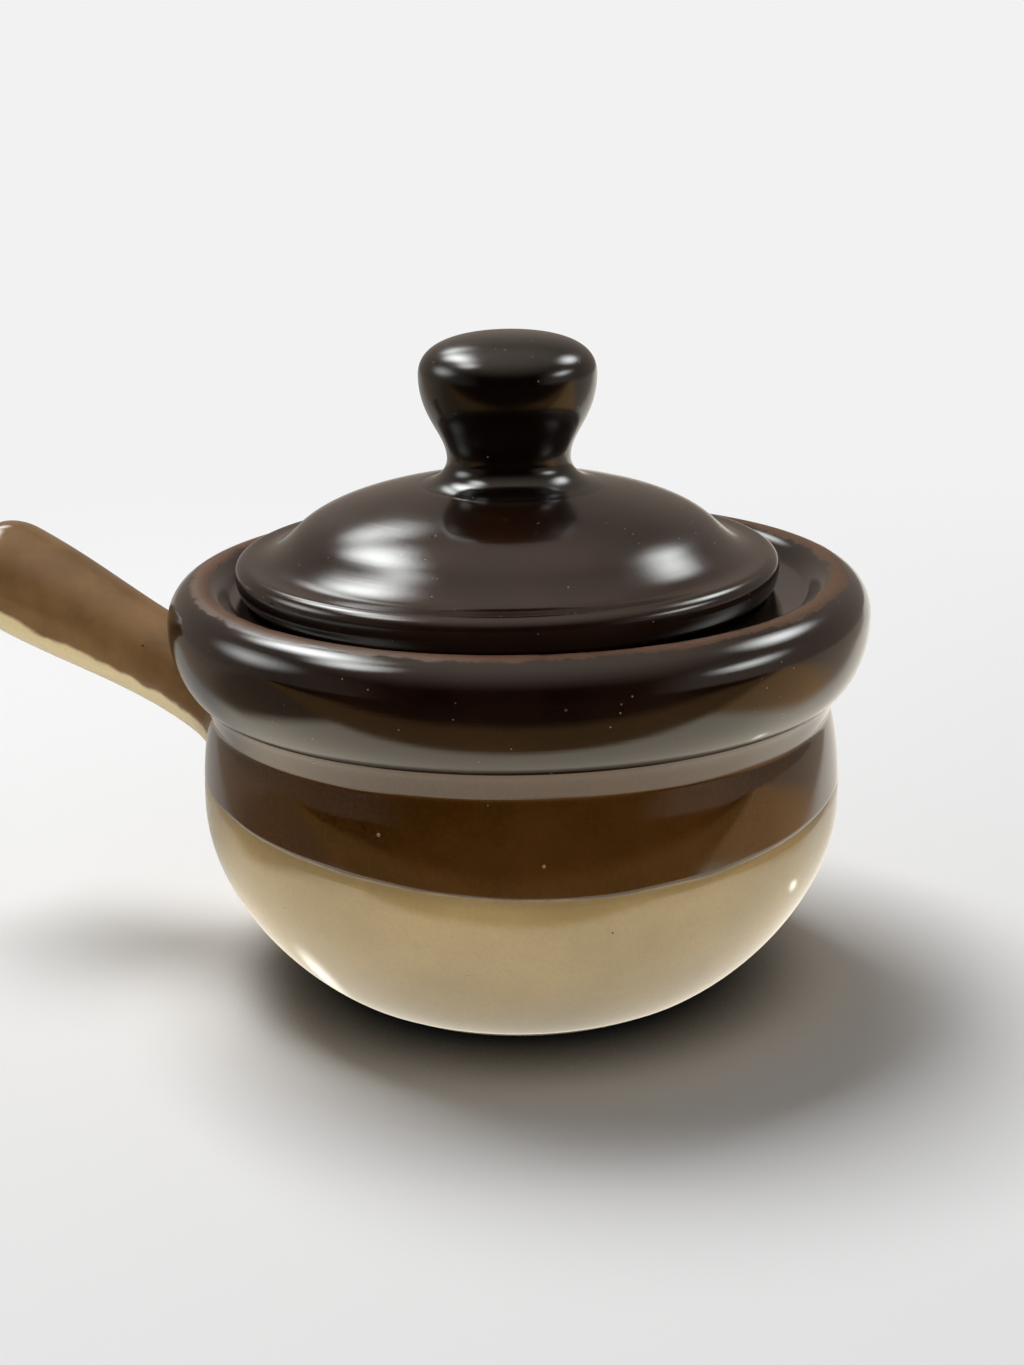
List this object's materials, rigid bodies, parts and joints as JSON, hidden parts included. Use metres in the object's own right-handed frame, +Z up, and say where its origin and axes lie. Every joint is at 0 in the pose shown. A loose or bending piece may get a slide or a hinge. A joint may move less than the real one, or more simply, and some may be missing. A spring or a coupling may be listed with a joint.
{
  "type": "onion soup crock",
  "caption": "Round stoneware soup crock with a rolled rim, a hollow stick handle and a loose domed lid with a waisted knob; holds hot soup and stands on a foot ring.",
  "frame": {"origin": "middle of the foot ring's underside, on the bowl's axis, at table height", "axes": "+Z up along the bowl's axis, the handle points along -X"},
  "size_m": [0.1775, 0.1272, 0.1198],
  "materials": {
    "dark_glaze": "gloss",
    "handle_glaze": "gloss",
    "band_glaze": "gloss",
    "cream_glaze": "gloss",
    "lid_glaze": "gloss",
    "knob_glaze": "gloss"
  },
  "bodies": {
    "crock": {"bowl": "dark_glaze", "handle": "handle_glaze", "band_glaze": "band_glaze", "cream_glaze": "cream_glaze"},
    "cover": {"lid": "lid_glaze", "knob": "knob_glaze"}
  },
  "joints": [
    {"name": "lid_lift", "type": "slide", "parent": "crock", "child": "cover", "axis": [0, 0, 1], "range_m": [0, 0.09]}
  ]
}
